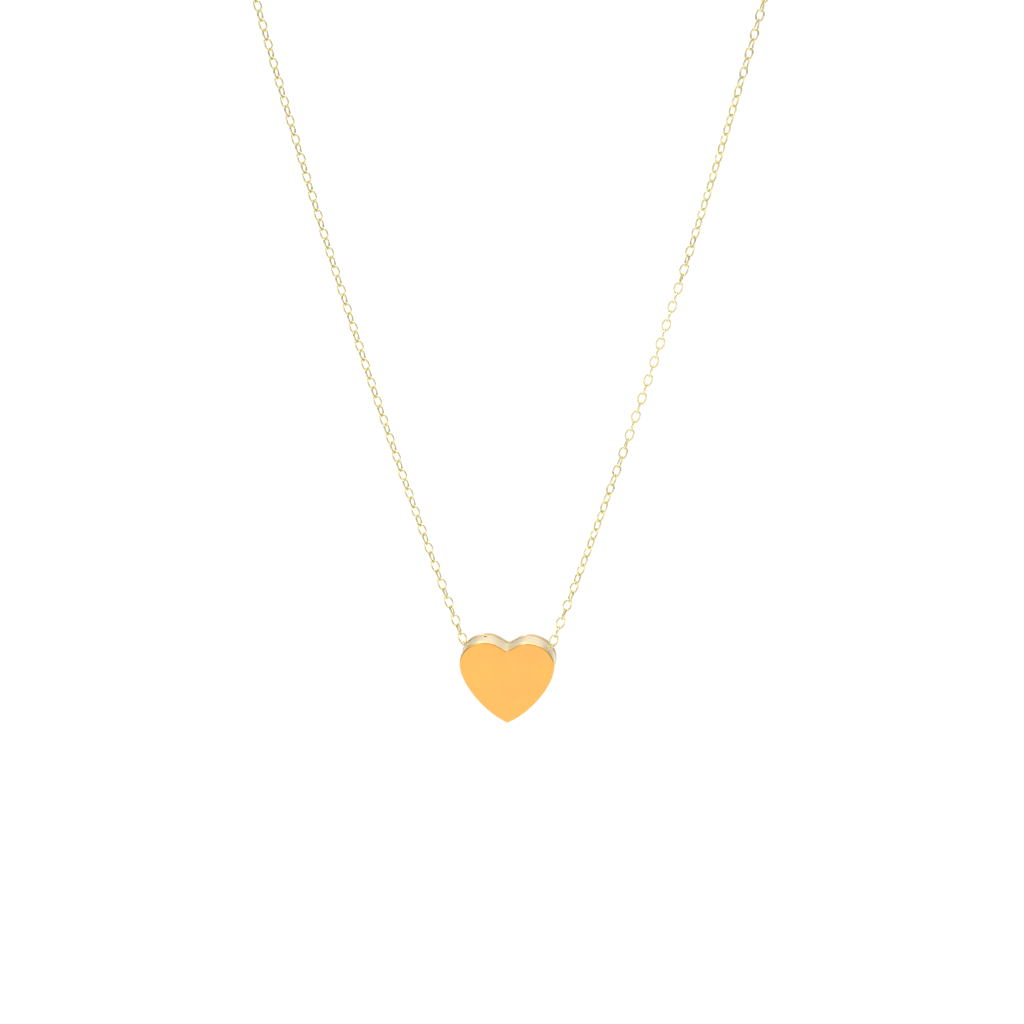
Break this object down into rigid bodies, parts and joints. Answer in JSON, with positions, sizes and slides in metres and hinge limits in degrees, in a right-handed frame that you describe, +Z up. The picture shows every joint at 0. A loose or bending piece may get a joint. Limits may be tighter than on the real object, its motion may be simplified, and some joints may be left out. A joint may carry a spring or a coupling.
{
  "type": "pendant necklace",
  "caption": "Hollow heart pendant hung by two shoulder loops on a fine cable chain with a spring-ring clasp, shown as worn round a neck.",
  "frame": {"origin": "middle of the neck loop, level with the place where the chain's two front legs start to hang free", "axes": "+Z up, -Y to the front where the heart's face looks, +X to the right as seen from the front"},
  "size_m": [0.098, 0.0914, 0.164],
  "materials": {
    "rose_gold_face": "satin",
    "pale_gold_wall": "polished",
    "yellow_gold_chain": "polished",
    "yellow_gold_clasp": "polished",
    "spring_steel": "satin"
  },
  "bodies": {
    "neck_chain": {"chain_left_6": "yellow_gold_chain", "chain_left_7": "yellow_gold_chain", "chain_left_8": "yellow_gold_chain", "chain_left_9": "yellow_gold_chain", "chain_left_10": "yellow_gold_chain", "chain_left_11": "yellow_gold_chain", "chain_right_6": "yellow_gold_chain", "chain_right_7": "yellow_gold_chain", "chain_right_8": "yellow_gold_chain", "chain_right_9": "yellow_gold_chain", "chain_right_10": "yellow_gold_chain", "chain_right_11": "yellow_gold_chain", "end_link_left": "yellow_gold_chain", "end_link_right": "yellow_gold_chain", "clasp_jump_ring": "yellow_gold_clasp", "clasp_catch_ring": "yellow_gold_clasp"},
    "band_5": {"chain_left_5": "yellow_gold_chain", "chain_right_5": "yellow_gold_chain"},
    "band_4": {"chain_left_4": "yellow_gold_chain", "chain_right_4": "yellow_gold_chain"},
    "band_3": {"chain_left_3": "yellow_gold_chain", "chain_right_3": "yellow_gold_chain"},
    "band_2": {"chain_left_2": "yellow_gold_chain", "chain_right_2": "yellow_gold_chain"},
    "band_1": {"chain_left_1": "yellow_gold_chain", "chain_right_1": "yellow_gold_chain", "link_left_1": "yellow_gold_chain", "link_left_2": "yellow_gold_chain", "link_left_3": "yellow_gold_chain", "link_right_1": "yellow_gold_chain", "link_right_2": "yellow_gold_chain", "link_right_3": "yellow_gold_chain"},
    "heart": {"heart_front_plate": "rose_gold_face", "heart_side_wall": "pale_gold_wall", "heart_back_plate": "pale_gold_wall", "heart_loop_left": "pale_gold_wall", "heart_loop_right": "pale_gold_wall"},
    "clasp": {"clasp_ring_tube": "yellow_gold_clasp", "clasp_eye": "yellow_gold_clasp", "clasp_spring": "spring_steel", "clasp_spring_stop": "yellow_gold_clasp"},
    "latch": {"clasp_latch": "yellow_gold_clasp", "clasp_thumb_knob": "yellow_gold_clasp"}
  },
  "joints": [
    {"name": "band_5_swing", "type": "hinge", "parent": "neck_chain", "child": "band_5", "pos_m": [0, -0.044, 0], "axis": [1, 0, 0], "range_deg": [-20, 20]},
    {"name": "band_4_swing", "type": "hinge", "parent": "band_5", "child": "band_4", "pos_m": [0, -0.044, -0.02289], "axis": [1, 0, 0], "range_deg": [-20, 20]},
    {"name": "band_3_swing", "type": "hinge", "parent": "band_4", "child": "band_3", "pos_m": [0, -0.044, -0.04567], "axis": [1, 0, 0], "range_deg": [-20, 20]},
    {"name": "band_2_swing", "type": "hinge", "parent": "band_3", "child": "band_2", "pos_m": [0, -0.044, -0.06831], "axis": [1, 0, 0], "range_deg": [-20, 20]},
    {"name": "band_1_swing", "type": "hinge", "parent": "band_2", "child": "band_1", "pos_m": [0, -0.044, -0.09077], "axis": [1, 0, 0], "range_deg": [-20, 20]},
    {"name": "heart_swing", "type": "hinge", "parent": "band_1", "child": "heart", "pos_m": [0, -0.044, -0.113], "axis": [1, 0, 0], "range_deg": [-40, 40]},
    {"name": "clasp_swing", "type": "hinge", "parent": "neck_chain", "child": "clasp", "pos_m": [0, 0.044, 0.038], "axis": [1, 0, 0], "range_deg": [-25, 25]},
    {"name": "latch_slide", "type": "hinge", "parent": "clasp", "child": "latch", "pos_m": [0.00086, 0.044, 0.038], "axis": [0, 1, 0], "range_deg": [0, 45], "stiffness_Nm_per_rad": 0.0005, "springref_deg": -28.65, "deforming": ["clasp_spring"]}
  ]
}
